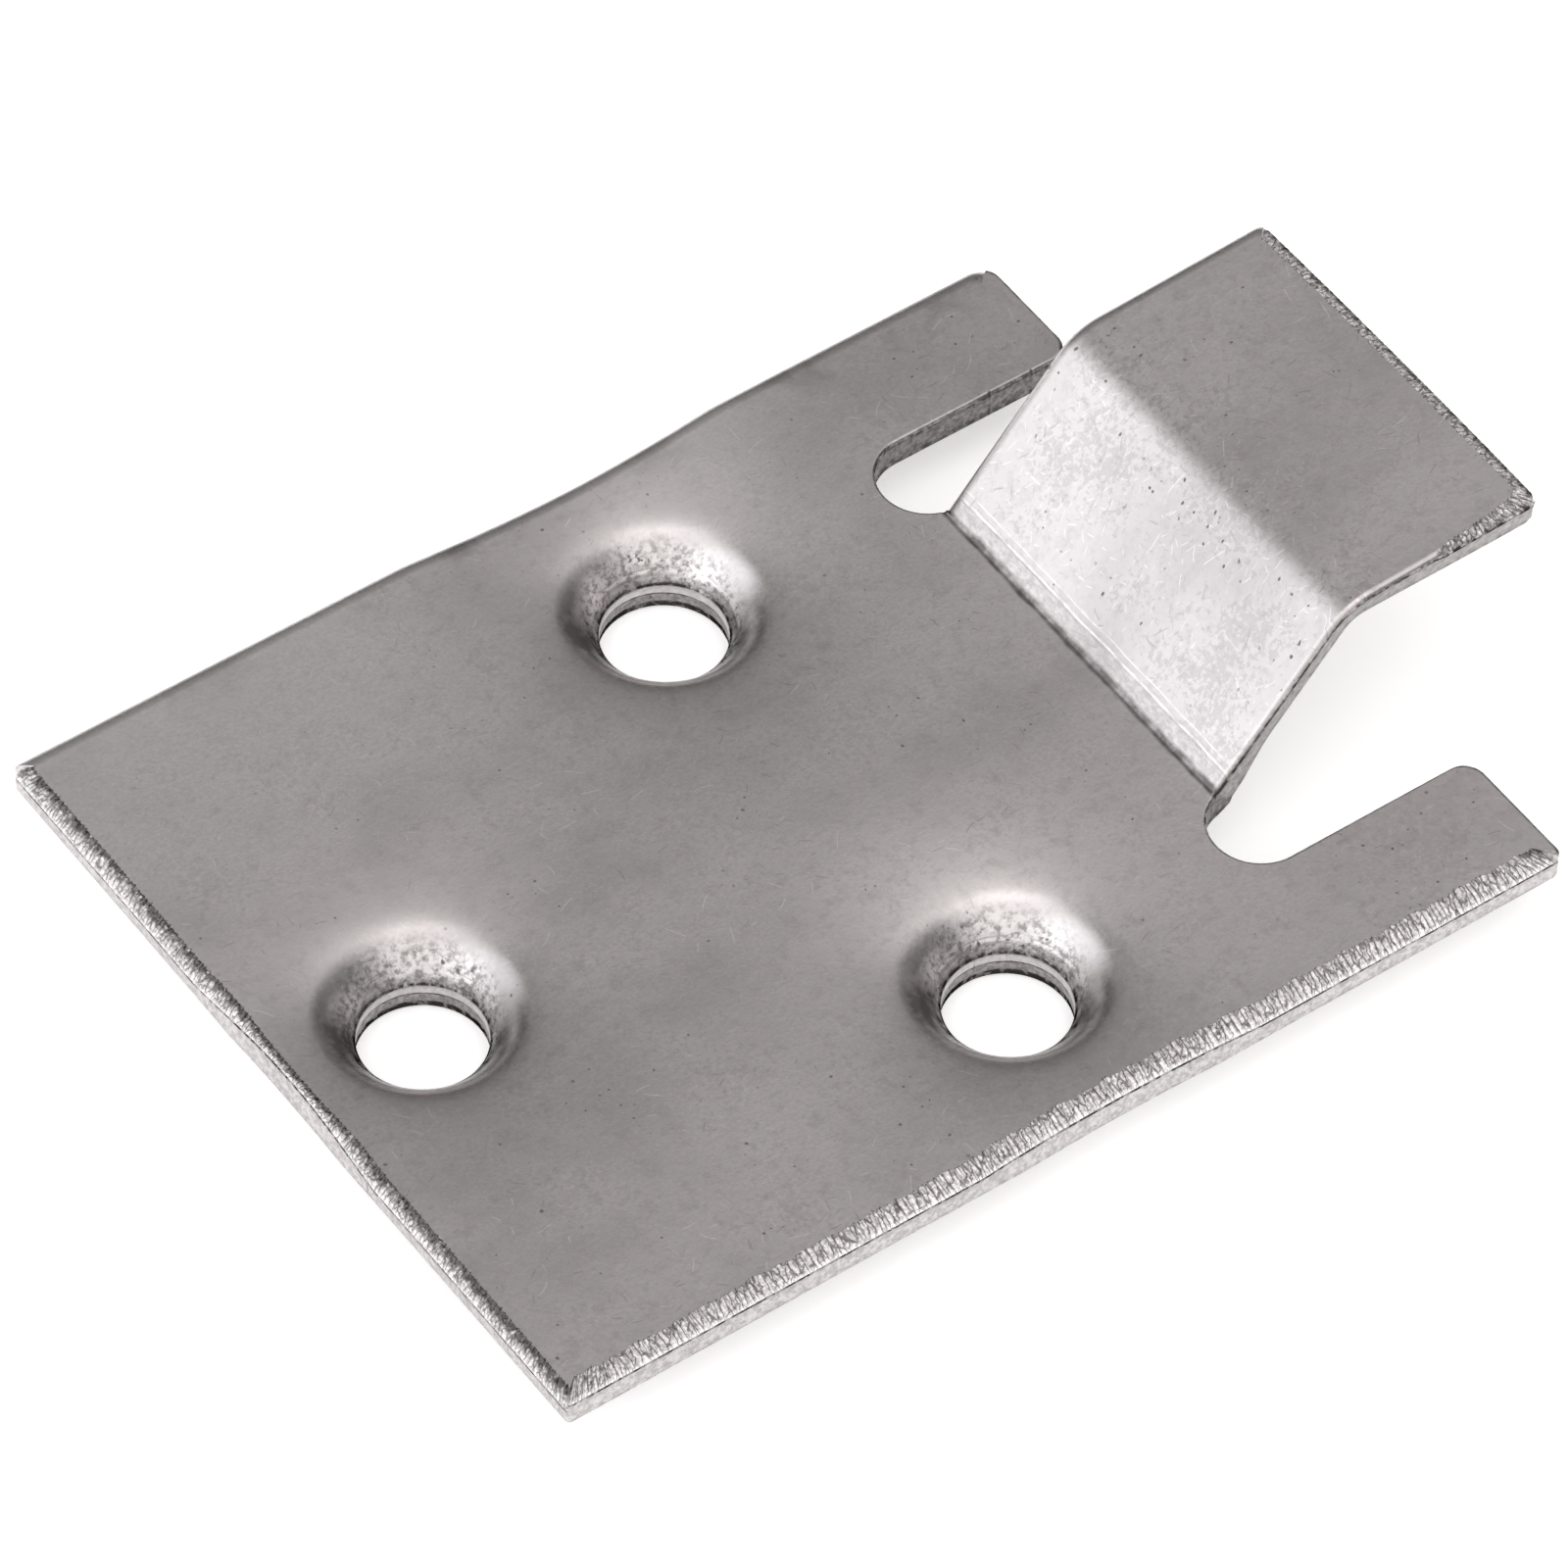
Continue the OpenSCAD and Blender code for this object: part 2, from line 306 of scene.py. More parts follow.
def edge_section(leg, a):
    """Points of an edge in section, from the top face round to the underside, each
    with its distance into the sheet, its height and its marks."""
    bevel, (pull, pull_under, inset), ground, (sheared, punched) = edge_shape(leg, a)
    width, height, round_share = bevel
    set_in = leg.rounding(a)
    pull += set_in
    pull_under += set_in
    plain = dict.fromkeys(marks, 0.0)
    rows = [(inner, 0, plain), (pull + width + 0.04, 0, plain)]
    for q in (0, 0.12, 0.4, 0.7, 0.92, 1):
        quarter = q * math.pi / 2
        flat = Vector((width * (1 - q), -height * q))
        arc = Vector((width * (1 - math.sin(quarter)), -height * (1 - math.cos(quarter))))
        across = flat.lerp(arc, round_share)
        worn = dict(plain, ground=ground[0], across=q, bevel_shade_level=ground[1])
        # Shade is painted over the outer share of the roll or bevel.
        first_q, last_q, most = painted_shade_reach.get(leg.name, usual_painted_shade)
        worn["painted_shade"] = most * min(1, max(0, (q - first_q) / (last_q - first_q)))
        rows.append((pull + across.x, across.y, worn))
    below = pull_under + inset
    torn = dict(plain, sheared=sheared, punched=punched)
    # A line of painted shade runs just below the roll or bevel, darker under a ground one, and the wall
    # is painted darker towards its foot, more where it is punched.
    line_shade = 1.2 if ground[0] else 0.55
    down_the_edge = (
        (0.02, 0, line_shade), (0.08, 0.1, line_shade), (0.13, 0.14, 0.1),
        (0.5, 0.5, 0), (0.9, 0.9, 0.1 + 0.4 * punched))
    for depth, share, dark in down_the_edge:
        n = -height - depth * (sheet - height - 0.06) - 0.015
        rows.append((pull + (below - pull) * share, n, dict(torn, painted_shade=dark + 0.2 * punched)))
    rows.append((below + 0.03, -sheet + 0.03, dict(torn, painted_shade=0.5)))
    rows.append((below + 0.1, -sheet, plain))
    rows.append((inner, -sheet, plain))
    return rows


def run_stations(leg):
    """Places along a leg that get a section: close together where it is ground or
    round, and along the tab at each line of its bends."""
    slot_cuts = 44
    fine, coarse = 0.07, 0.45
    tip_cuts, ground_cuts = 15, 82
    if isinstance(leg, SlotEnd):
        return [leg.length * k / slot_cuts for k in range(slot_cuts)]
    spots = {0.0}
    if leg.name in ("tab right", "tab left"):
        spots |= {round(abs(s - leg.start.x), 6) for s in bend_lines if slot_x < s < tip_s - 1}
        near = leg.length if leg.name == "tab right" else 0.0
        spots |= {abs(near - fine * k) for k in range(tip_cuts)}
        if leg.name == "tab right":
            spots |= {leg.length - fine * k for k in range(tip_cuts, ground_cuts)}
        return sorted(q for q in spots if q < leg.length - 1e-6)
    pitch = fine if leg.name in ("right side", "back", "tip") else coarse
    count = round(leg.length / pitch)
    spots |= {leg.length * k / count for k in range(count)}
    for corner, from_end in zip(leg.corners, (False, True)):
        if corner:
            spots |= {leg.length - 0.1 * k if from_end else 0.1 * k for k in range(1, 13)}
    kept = []
    for q in sorted(spots):
        if q < leg.length - 1e-6 and (not kept or q - kept[-1] > 0.025):
            kept.append(q)
    return kept


# Lines across the sheet where it is divided: even, and close in the two bends.
bend_lines = []
for start, end, count in (
    (back_x, bend_s, 66),
    (bend_s, slope_s, 8),
    (slope_s, wide_s, 14),
    (wide_s, lip_s, 12),
    (lip_s, tip_s, 14),
):
    bend_lines += [start + (end - start) * k / count for k in range(count)]

bracket_mesh = bmesh.new()
mark_layers = {name: bracket_mesh.verts.layers.float.new(name) for name in marks}
run_mark = bracket_mesh.verts.layers.float.new("run")
bite_mark = bracket_mesh.verts.layers.float_vector.new("bite")

sections = []
rim_loop = []
walked = 0.0
for leg in outline:
    for a in run_stations(leg):
        into = (leg.at(a, 0.1) - leg.at(a, 0)).normalized()
        column = []
        for d, n, worn in edge_section(leg, a):
            s, y = leg.at(a, d)
            vert = bracket_mesh.verts.new(place(s, y, n))
            for name, layer in mark_layers.items():
                vert[layer] = worn[name]
            vert[run_mark] = walked + a
            if worn["ground"]:
                deeper = into * 0.1
                inward = (place(s + deeper.x, y + deeper.y, n) - place(s, y, n)) / 0.1
                down = (place(s, y, n - 0.1) - place(s, y, n)) / 0.1
                bite = inward if worn["across"] == 0 else 0.35 * inward + 0.35 * down
                vert[bite_mark] = worn["ground"] * bite * (1 - 0.6 * worn["across"])
            column.append(vert)
        sections.append(column)
        rim_loop.append(leg.at(a, inner))
    walked += leg.length
for column, nxt in zip(sections, sections[1:] + sections[:1]):
    for k in range(len(column) - 1):
        bracket_mesh.faces.new((column[k], column[k + 1], nxt[k + 1], nxt[k]))

# The two faces of the sheet inside its edges and around its dimples, divided
# evenly, so that the plate can be drawn down a little and the tab bends cleanly.
spokes = 128
outer_spokes = 72
outer_rings = (5.5, 5.75, 6.05, 6.4)
clear_of_rings = 6.7
mesh_pitch = 0.6
points = list(rim_loop)
borders = [(k, (k + 1) % len(rim_loop)) for k in range(len(rim_loop))]
for hx, hy in holes:
    first = len(points)
    for k in range(spokes):
        turn = 2 * math.pi * k / spokes
        points.append(Vector((hx + ring_r * math.cos(turn), hy + ring_r * math.sin(turn))))
    borders += [(first + k, first + (k + 1) % spokes) for k in range(spokes)]
    for r in outer_rings:
        for k in range(outer_spokes):
            turn = 2 * math.pi * (k + 0.5) / outer_spokes
            x, y = hx + r * math.cos(turn), hy + r * math.sin(turn)
            if x > back_x + inner + 0.1:
                points.append(Vector((x, y)))


def on_sheet(s, y):
    """Whether a point lies inside the edges and outside the rings of the dimples."""
    clear = inner + 0.25
    if any(math.hypot(s - hx, y - hy) < clear_of_rings for hx, hy in holes):
        return False
    if math.hypot(s - slot_x, abs(y) - slot_y) < slot_r + clear:
        return False
    if s > slot_x and abs(y) > tab_y - clear and abs(y) < ear_y + clear:
        return False
    if abs(y) < slot_y and s > slot_x - slot_r:
        return abs(y) < tab_y - clear and s < tip_s - clear
    return abs(y) < side_y - clear and back_x + clear < s < ear_x - clear


for s in bend_lines:
    for k in range(-33, 34):
        if on_sheet(s, mesh_pitch * k):
            points.append(Vector((s, mesh_pitch * k)))
flat, _, cells, _, _, _ = delaunay_2d_cdt(points, borders, [], 1, 1e-6)
for n in (0, -sheet):
    verts = [bracket_mesh.verts.new(place(p.x, p.y, n)) for p in flat]
    for cell in cells:
        middle = sum((flat[k] for k in cell), Vector((0, 0))) / len(cell)
        if all(math.hypot(middle.x - hx, middle.y - hy) > ring_r - 0.003 for hx, hy in holes):
            bracket_mesh.faces.new([verts[k] for k in cell])

# The dimples themselves. The hole is punched through: its rim is rolled, then
# the steel is cut clean for a third of the wall and breaks away rough below.
# Each row has a radius, a height, a kind of surface, how much of it, and how
# much shade is painted on it: dark lines at the rim, at the step and at the foot.
down_the_wall = [
    (2.87, 1.495, "pressed", 1, 0.5), (2.82, 1.43, "pressed", 1, 1.2), (2.775, 1.37, "pressed", 1, 1),
    (2.76, 1.33, "sheared", 0.4, 0.1), (2.75, 1.15, "sheared", 0.4, 0), (2.75, 0.95, "sheared", 0.4, 0),
    (2.755, 0.9, "punched", 1, 1), (2.79, 0.84, "punched", 1, 0.9), (2.8, 0.78, "punched", 1, 0),
    (2.8, 0.5, "punched", 1, 0), (2.8, 0.42, "punched", 1, 0), (2.8, 0.28, "punched", 1, 1.6),
    (2.81, 0.03, "punched", 1, 1.6), (2.86, 0.0, "punched", 0, 1),
]
far_side = Vector((0.6, 0.8))
# The light grain of the pressed walls reaches farther out towards this side, where they catch the
# light: partly a painted highlight.
bright_grain_side = Vector((0.3, 0.95))
# Shade is painted on three sides of each dimple: the side, how dark, how closely it keeps to that side,
# and out to which radius.
shaded_sides = [
    (Vector((-0.98, 0.2)), 0.7, 5, 4.5),
    (Vector((0.54, -0.84)), 0.45, 4, 4.3),
    (-far_side, 0.25, 1.5, 4.2),
]
shade_fade = 0.4
down_the_dimple = (ring_r, 5.1, 4.9, 4.7, 4.5, 4.3, 4.0, 3.7, 3.4, 3.1, 2.93)
foot = [(3.0, 0.0), (3.264, 0.0), (3.4, 0.03), (3.52, 0.08), (3.617, 0.146)]
up_its_back = (3.9, 4.3, 4.7, 5.0, 5.15, ring_r)
# Within this radius, shade is painted on the near side of each hole too.
near_shade_r = 3.2
for hx, hy in holes:
    spoke_verts = []
    for k in range(spokes):
        turn = 2 * math.pi * k / spokes
        ray = Vector((math.cos(turn), math.sin(turn)))
        bright_grain_r = 3.6 + 0.6 * max(0, ray.dot(bright_grain_side))
        near = max(0, -ray.dot(far_side))
        rows = []
        for r in down_the_dimple:
            stretched = min(1, max(0, (bright_grain_r - r) / 0.6))
            near_shade = 1.3 * near if r < near_shade_r else 0
            top, _ = sheet_faces(hx + r * ray.x, hy + r * ray.y)
            rows.append((r, top, "pressed", stretched, near_shade))
        rows += down_the_wall
        rows += [(r, z, "pressed", 0, 0) for r, z in foot]
        for r in up_its_back:
            _, under = sheet_faces(hx + r * ray.x, hy + r * ray.y)
            rows.append((r, under, "pressed", 0, 0))
        column = []
        for r, z, name, much, dark in rows:
            vert = bracket_mesh.verts.new(Vector((hx + r * ray.x, hy + r * ray.y, z)) * mm)
            vert[mark_layers[name]] = much
            vert[mark_layers["painted_shade"]] = dark
            vert[mark_layers["off"]] = r
            dimple_shade = 0.0
            for side, most, power, end_r in shaded_sides:
                inside = between(-r, -end_r - shade_fade, -end_r + shade_fade, 0, 1)
                dimple_shade += most * max(0, ray.dot(side)) ** power * inside
            vert[mark_layers["dimple_shade"]] = dimple_shade
            column.append(vert)
        spoke_verts.append(column)
    for column, nxt in zip(spoke_verts, spoke_verts[1:] + spoke_verts[:1]):
        for k in range(len(column) - 1):
            bracket_mesh.faces.new((column[k], column[k + 1], nxt[k + 1], nxt[k]))

bmesh.ops.remove_doubles(bracket_mesh, verts=bracket_mesh.verts, dist=2e-6)
bmesh.ops.recalc_face_normals(bracket_mesh, faces=bracket_mesh.faces)
blank = bpy.data.meshes.new("bracket_blank")
bracket_mesh.to_mesh(blank)
bracket_mesh.free()
blank.shade_smooth()
raw_bracket = bpy.data.objects.new("bracket_raw", blank)
bpy.context.scene.collection.objects.link(raw_bracket)


# The steel: cold-rolled sheet with a satin face, clouded, lightly scratched and
# pitted, brighter and grooved where it was ground, and dull where it was sheared.
groove_pitch = 0.25
satin_steel = bpy.data.materials.new("satin_rolled_steel")
satin_steel.use_nodes = True
wires = satin_steel.node_tree.links
shop = satin_steel.node_tree.nodes
shop.clear()


def node(kind, **sockets):
    made = shop.new(kind)
    for name, value in sockets.items():
        setattr(made, name, value)
    return made


def join(source, target):
    wires.new(source, target)


surface = node("ShaderNodeBsdfPrincipled")
output = node("ShaderNodeOutputMaterial")
join(surface.outputs["BSDF"], output.inputs["Surface"])
where = node("ShaderNodeTexCoord")


def noise(scale, detail, rough, stretch=(1, 1, 1), turn=0.0, start=(0, 0, 0)):
    """Noise at a scale per metre, stretched and turned on the sheet."""
    lay = node("ShaderNodeMapping")
    lay.inputs["Scale"].default_value = stretch
    lay.inputs["Rotation"].default_value = (0, 0, turn)
    lay.inputs["Location"].default_value = start
    grain = node("ShaderNodeTexNoise")
    grain.inputs["Scale"].default_value = scale
    grain.inputs["Detail"].default_value = detail
    grain.inputs["Roughness"].default_value = rough
    join(where.outputs["Object"], lay.inputs["Vector"])
    join(lay.outputs["Vector"], grain.inputs["Vector"])
    return grain.outputs["Fac"]


def spread(source, low_in, high_in, low_out, high_out):
    """A range of a noise or a mark, laid out over another range."""
    remap = node("ShaderNodeMapRange")
    remap.inputs["From Min"].default_value = low_in
    remap.inputs["From Max"].default_value = high_in
    remap.inputs["To Min"].default_value = low_out
    remap.inputs["To Max"].default_value = high_out
    join(source, remap.inputs["Value"])
    return remap.outputs["Result"]


def reckon(how, first, second):
    """One step of arithmetic between two noises, marks or numbers."""
    both = node("ShaderNodeMath", operation=how)
    for socket, value in zip(both.inputs, (first, second)):
        if isinstance(value, (int, float)):
            socket.default_value = value
        else:
            join(value, socket)
    return both.outputs["Value"]


def sum_of(first, second):
    return reckon("ADD", first, second)


def less(first, second):
    return reckon("SUBTRACT", first, second)


def share_of(source, amount):
    return reckon("MULTIPLY", source, amount)


def more_of(first, second):
    return reckon("MAXIMUM", first, second)


def size_of(source):
    return reckon("ABSOLUTE", source, 0)


def capped(source):
    return reckon("MINIMUM", source, 1)


def blend_colour(share, first, second):
    """The first colour, with a share of the second over it."""
    mix = node("ShaderNodeMix", data_type="RGBA", blend_type="MIX")
    for socket, value in zip((mix.inputs[0], mix.inputs[6], mix.inputs[7]), (share, first, second)):
        if isinstance(value, (int, float, tuple)):
            socket.default_value = value
        else:
            join(value, socket)
    return mix.outputs[2]


def mark(name):
    """A mark that the mesh carries from the making of the blank."""
    marked = node("ShaderNodeAttribute", attribute_name=name)
    return marked.outputs["Fac"]


def scratches(scale, half_mm, thin_mm, start, patchy, crowd, more=0.0):
    """Short light scratches, each its own way round in a cell, in loose clusters."""
    lay = node("ShaderNodeMapping")
    lay.inputs["Location"].default_value = start
    cell = node("ShaderNodeTexVoronoi", voronoi_dimensions="2D")
    cell.inputs["Scale"].default_value = scale
    off = node("ShaderNodeVectorMath", operation="SUBTRACT")
    luck = node("ShaderNodeSeparateXYZ")
    turned = node("ShaderNodeVectorRotate", rotation_type="Z_AXIS")
    lying = node("ShaderNodeSeparateXYZ")
    join(where.outputs["Object"], lay.inputs["Vector"])
    join(lay.outputs["Vector"], cell.inputs["Vector"])
    join(lay.outputs["Vector"], off.inputs[0])
    join(cell.outputs["Position"], off.inputs[1])
    join(cell.outputs["Color"], luck.inputs["Vector"])
    join(off.outputs["Vector"], turned.inputs["Vector"])
    join(share_of(luck.outputs["X"], 2 * math.pi), turned.inputs["Angle"])
    join(turned.outputs["Vector"], lying.inputs["Vector"])
    along, aside = lying.outputs["X"], lying.outputs["Y"]
    bow = share_of(share_of(along, along), spread(luck.outputs["Y"], 0, 1, -450, 450))
    half = spread(luck.outputs["Z"], 0, 1, 0.35 * half_mm * mm, half_mm * mm)
    reach = spread(less(size_of(along), half), -0.12 * mm, 0, 1, 0)
    thin = spread(size_of(sum_of(aside, bow)), 0.2 * thin_mm * mm, thin_mm * mm, 1, 0)
    here = sum_of(noise(patchy, 1, 0.5, start=(start[1], start[0], 0.4)), more)
    here = sum_of(here, spread(luck.outputs["Y"], 0, 1, -0.06, 0.06))
    return share_of(share_of(reach, thin), spread(here, crowd, crowd + 0.05, 0, 1))


def specks(scale, radius, start, cluster_scale, cluster, kept, more=0.0):
    """Small ragged pits in a share of the cells, each its own size, in clusters."""
    lay = node("ShaderNodeMapping")
    lay.inputs["Location"].default_value = start
    cell = node("ShaderNodeTexVoronoi", voronoi_dimensions="2D")
    cell.inputs["Scale"].default_value = scale
    join(where.outputs["Object"], lay.inputs["Vector"])
    join(lay.outputs["Vector"], cell.inputs["Vector"])
    luck = node("ShaderNodeSeparateXYZ")
    join(cell.outputs["Color"], luck.inputs["Vector"])
    ragged = spread(noise(scale * 2.3, 0, 0.6, start=start), 0.3, 0.7, -0.6 * radius, 0.6 * radius)
    ragged = sum_of(ragged, spread(luck.outputs["Y"], 0, 1, 0, 0.8 * radius))
    deep = spread(sum_of(cell.outputs["Distance"], ragged), radius * 0.4, radius, 1, 0)
    deep = share_of(deep, spread(luck.outputs["X"], 1 - kept, 1.01 - kept, 0, 1))
    here = sum_of(noise(cluster_scale, 1, 0.5, start=start), more)
    return share_of(deep, spread(here, cluster, cluster + 0.05, 0, 1))


# What the sheet has everywhere: rolling clouds, a fine tooth, pits and short
# scratches. The wide bend is worn, and the slope beneath it is scuffed all over.
cloud_dark, cloud_light = (0.465, 0.444, 0.444, 1), (0.58, 0.556, 0.556, 1)
patch_light, mottle_dark = (0.645, 0.618, 0.618, 1), (0.40, 0.378, 0.376, 1)
scratch_light, scratch_dark = (0.92, 0.90, 0.90, 1), (0.25, 0.235, 0.23, 1)
scuff_light, scuff_dark = (1.0, 0.985, 0.985, 1), (0.3, 0.285, 0.28, 1)
grain_dark, pit_dark = (0.28, 0.265, 0.262, 1), (0.14, 0.128, 0.125, 1)
wide_bend_x = 17.5
slope_foot_z, slope_clear_z = 4.3, 5.2
slope_end_x, lip_start_x = 19.5, 21.5
clouds = noise(70, 2, 0.5, (1, 1.7, 1), math.radians(35))
patches = noise(260, 2, 0.55, start=(0.02, 0.05, 0))
tooth = noise(5200, 1, 0.65)
mottle = noise(1500, 3, 0.65)
object_axes = node("ShaderNodeSeparateXYZ")
join(where.outputs["Object"], object_axes.inputs["Vector"])
at_x, at_y, at_z = (object_axes.outputs[axis] for axis in "XYZ")
off_bend = size_of(sum_of(at_x, -wide_bend_x * mm))
bend_worn = spread(off_bend, 1.5 * mm, 5.0 * mm, 0.2, 0)
loose_pits = specks(1100, 0.09, (0.01, 0.02, 0), 230, 0.5, 0.1)
close_pits = specks(2300, 0.18, (0.03, 0.01, 0), 300, 0.56, 0.2, bend_worn)
pits = more_of(loose_pits, close_pits)
bright_hairs = scratches(620, 0.55, 0.035, (0.02, 0.01, 0), 210, 0.55, share_of(bend_worn, 0.5))
dark_hairs = scratches(800, 0.4, 0.04, (0.05, 0.03, 0), 240, 0.56, share_of(bend_worn, 0.4))
off_plate = spread(at_z, slope_foot_z * mm, slope_clear_z * mm, 0.35, 1)
off_lip = spread(at_x, slope_end_x * mm, lip_start_x * mm, 1, 0.35)
on_slope = share_of(off_plate, off_lip)
scuffs = share_of(scratches(1900, 0.26, 0.03, (0.07, 0.01, 0), 300, 0.42), on_slope)
dark_scuffs = share_of(scratches(2100, 0.22, 0.03, (0.01, 0.06, 0), 260, 0.47), on_slope)
grain = sum_of(noise(3600, 2, 0.7, start=(0.01, 0.08, 0)), sum_of(patches, share_of(bend_worn, 0.5)))
grain = share_of(spread(grain, 1.12, 1.22, 0, 0.32), spread(on_slope, 0, 1, 0.3, 1))
tone = blend_colour(spread(clouds, 0.36, 0.64, 0, 1), cloud_dark, cloud_light)
tone = blend_colour(spread(patches, 0.4, 0.72, 0, 0.45), tone, patch_light)
tone = blend_colour(spread(mottle, 0.5, 0.78, 0, 0.55), tone, mottle_dark)
tone = blend_colour(share_of(bright_hairs, 0.38), tone, scratch_light)
tone = blend_colour(share_of(dark_hairs, 0.45), tone, scratch_dark)
tone = blend_colour(share_of(scuffs, 0.28), tone, scuff_light)
tone = blend_colour(share_of(dark_scuffs, 0.3), tone, scuff_dark)
tone = blend_colour(grain, tone, grain_dark)
tone = blend_colour(share_of(pits, 0.8), tone, pit_dark)

# A patchy band of painted shade lies just inside the left side, and a painted sheen
# lightens the plate there, except beside the left dimple and on the ear.
side_shade_dark, painted_sheen_light = (0.2, 0.187, 0.183, 1), (0.78, 0.76, 0.76, 1)
side_shade_start, side_shade_full = 2.4, 0.7
sheen_gap_x = -4
sheen_from_y, sheen_full_y = 8, 19
sheen_to_x, sheen_gone_x = 5, 12
near_side = spread(at_y, (side_y - side_shade_start) * mm, (side_y - side_shade_full) * mm, 0, 1)
side_shade = share_of(near_side, spread(noise(260, 3, 0.7, start=(0.06, 0.02, 0)), 0.5, 0.62, 0, 0.45))
tone = blend_colour(side_shade, tone, side_shade_dark)
# Painted sheen: lighter towards the left side, except near the left dimple and on the ear.
off_dimple = size_of(sum_of(at_x, -sheen_gap_x * mm))
painted_sheen = spread(off_dimple, 3 * mm, 9 * mm, 0, 0.45)
painted_sheen = share_of(painted_sheen, spread(at_y, sheen_from_y * mm, sheen_full_y * mm, 0, 1))
painted_sheen = share_of(painted_sheen, spread(at_x, sheen_to_x * mm, sheen_gone_x * mm, 1, 0))
tone = blend_colour(painted_sheen, tone, painted_sheen_light)

# The stretched walls of the dimples are grained like orange peel and pitted, their light
# grain partly a painted highlight; shade is painted on three of their sides, and the
# punch left fine rings beside the holes.
peel_painted_light, peel_dark = (0.80, 0.78, 0.78, 1), (0.24, 0.226, 0.222, 1)
ring_dark, peel_pit_dark = (0.22, 0.207, 0.203, 1), (0.10, 0.092, 0.09, 1)
dimple_shade_dark = (0.075, 0.068, 0.066, 1)
rings_per_mm = 5.5
rings_end_r, rings_gone_r = 3.2, 3.5
peel = noise(3300, 2, 0.7, start=(0.01, 0, 0))
peel_pits = specks(2700, 0.34, (0.02, 0, 0.01), 620, 0.48, 0.4)
rings = noise(1, 2, 0.6)
ring_spot = node("ShaderNodeCombineXYZ")
join(share_of(mark("off"), rings_per_mm), ring_spot.inputs["X"])
join(ring_spot.outputs["Vector"], rings.node.inputs["Vector"])
ring_share = spread(rings, 0.42, 0.55, 0.6, 0)
ring_share = share_of(ring_share, spread(mark("off"), rings_end_r, rings_gone_r, 1, 0))
ring_share = share_of(ring_share, spread(noise(420, 2, 0.5, start=(0.03, 0, 0)), 0.45, 0.55, 0, 1))
pressed = mark("pressed")
# The light grain of the pressed walls is partly a painted highlight.
tone = blend_colour(share_of(pressed, spread(peel, 0.40, 0.56, 0.8, 0)), tone, peel_painted_light)
tone = blend_colour(share_of(pressed, spread(peel, 0.54, 0.63, 0, 0.75)), tone, peel_dark)
tone = blend_colour(share_of(pressed, ring_share), tone, ring_dark)
tone = blend_colour(share_of(pressed, share_of(peel_pits, 0.85)), tone, peel_pit_dark)
dimple_shade_edge = spread(noise(700, 3, 0.7, start=(0.02, 0.02, 0)), 0.3, 0.7, -0.45, 0.45)
dimple_shade_share = spread(sum_of(mark("dimple_shade"), share_of(dimple_shade_edge, mark("dimple_shade"))), 0.1, 0.75, 0, 0.8)
tone = blend_colour(dimple_shade_share, tone, dimple_shade_dark)

# The tight bend of the tab: painted shade in the crease at its foot, steel dragged by
# the die above it, and then the dark line and the two bright ones that its edge left.
crease_shade_dark, dragged_dark = (0.10, 0.092, 0.09, 1), (0.36, 0.342, 0.338, 1)
die_dark, die_bright = (0.3, 0.28, 0.27, 1), (1.0, 0.99, 0.99, 1)
crease_x, dragged_x, die_x = bend_x + 0.02, bend_x + 0.42, bend_x + 0.63
bright_x, second_bright_x = bend_x + 0.69, bend_x + 0.92
side_fade = 0.15
stray = noise(600, 2, 0.5, start=(0, 0.03, 0))


def line_across(x_mm, half_mm, soft_mm, stray_mm=0.08):
    """A line square to the tab at x, as wide as the tab, that strays a little."""
    wander = spread(stray, 0.2, 0.8, -stray_mm * mm, stray_mm * mm)
    off = size_of(sum_of(sum_of(at_x, -x_mm * mm), wander))
    near = spread(off, half_mm * mm, (half_mm + soft_mm) * mm, 1, 0)
    wide = spread(size_of(at_y), tab_y * mm, (tab_y + side_fade) * mm, 1, 0)
    return share_of(near, wide)


crease_shade = share_of(line_across(crease_x, 0.1, 0.12), spread(noise(1300, 3, 0.6), 0.35, 0.6, 0.55, 1))
die_line = line_across(die_x, 0.01, 0.04, 0.03)
die_line = share_of(die_line, spread(noise(700, 3, 0.6), 0.38, 0.55, 0.2, 1))
bright_line = line_across(bright_x, 0.01, 0.04, 0.03)
bright_line = more_of(bright_line, line_across(second_bright_x, 0, 0.03, 0.03))
bright_line = share_of(bright_line, spread(noise(900, 3, 0.6), 0.38, 0.55, 0.1, 0.5))
dragged = line_across(dragged_x, 0.22, 0.3)
dragged = share_of(dragged, spread(noise(2600, 4, 0.7, (1.6, 0.8, 1.6)), 0.4, 0.6, 0.05, 0.7))
tone = blend_colour(dragged, tone, dragged_dark)
tone = blend_colour(share_of(crease_shade, 0.9), tone, crease_shade_dark)
tone = blend_colour(share_of(die_line, 0.5), tone, die_dark)
tone = blend_colour(bright_line, tone, die_bright)

# The ground edges: groove beside groove, with painted shade along the top of the
# bevel and a painted highlight along its lower edge.
bevel_shade_low, bevel_shade_high = (0.02, 0.0185, 0.018, 1), (0.18, 0.169, 0.166, 1)
clean_low, clean_high = (0.44, 0.42, 0.417, 1), (0.92, 0.90, 0.90, 1)
groove_dark, bevel_highlight_colour = (0.13, 0.12, 0.115, 1), (0.97, 0.96, 0.96, 1)
wobble = spread(noise(2300, 2, 0.65), 0, 1, -0.6, 0.6)
slant = share_of(mark("across"), 0.45)
bevel_spot = node("ShaderNodeCombineXYZ")
stroke_at = sum_of(share_of(mark("run"), 1 / groove_pitch), slant)
join(sum_of(stroke_at, wobble), bevel_spot.inputs["X"])
join(sum_of(mark("across"), wobble), bevel_spot.inputs["Y"])
